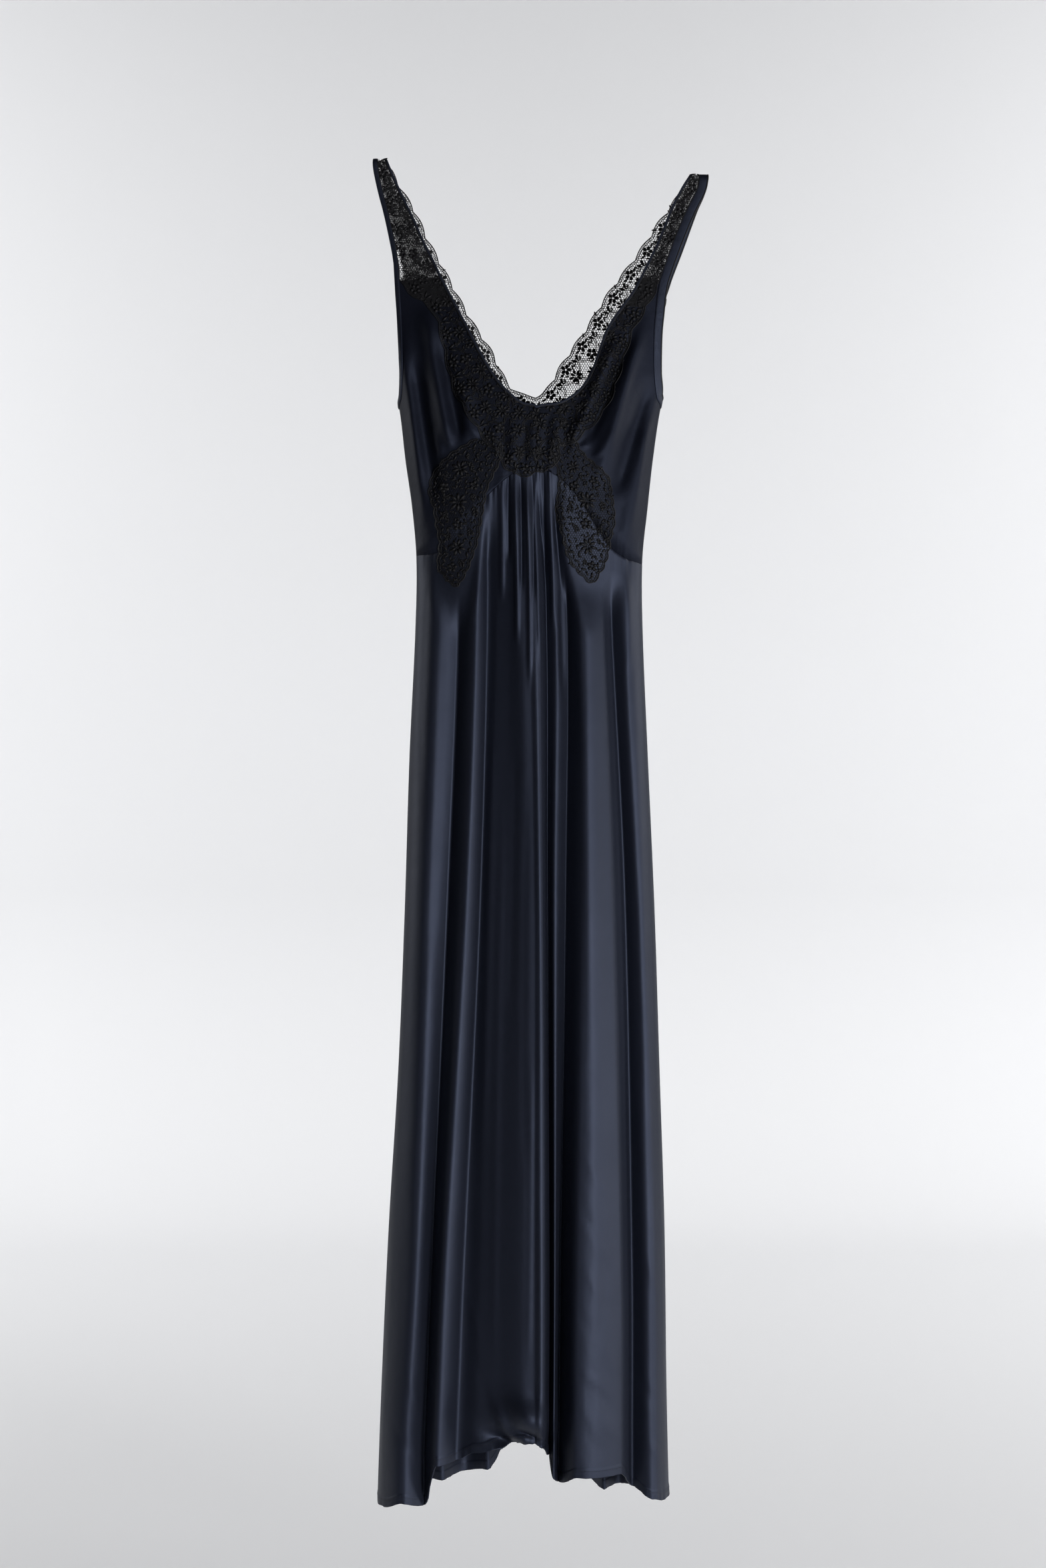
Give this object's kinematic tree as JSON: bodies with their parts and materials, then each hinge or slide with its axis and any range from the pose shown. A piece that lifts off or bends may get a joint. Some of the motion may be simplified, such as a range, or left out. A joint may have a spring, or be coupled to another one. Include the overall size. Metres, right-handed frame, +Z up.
{
  "type": "slip dress",
  "caption": "Long satin slip dress with lace straps, a lace neckline and yoke, lace points under the bust and a pleated, flared skirt, hanging from its straps.",
  "frame": {"origin": "midway between the two strap loops, at the height at which they are held", "axes": "+Z up, +X to the right as seen from the front, the front towards -Y"},
  "size_m": [0.3422, 0.1577, 1.3716],
  "materials": {
    "satin": "smooth satin, near black with a navy cast",
    "lace": "matt black net with corded flowers",
    "binding": "narrow black satin binding"
  },
  "bodies": {
    "root": {"skirt_front": "satin", "skirt_back": "satin", "cup_left": "satin", "cup_right": "satin", "bodice_back": "satin", "lace_front_left": "lace", "lace_front_right": "lace", "lace_point_left": "lace", "lace_point_right": "lace", "lace_back": "lace", "neck_binding": "binding", "armhole_binding_left": "binding", "armhole_binding_right": "binding"}
  },
  "joints": []
}
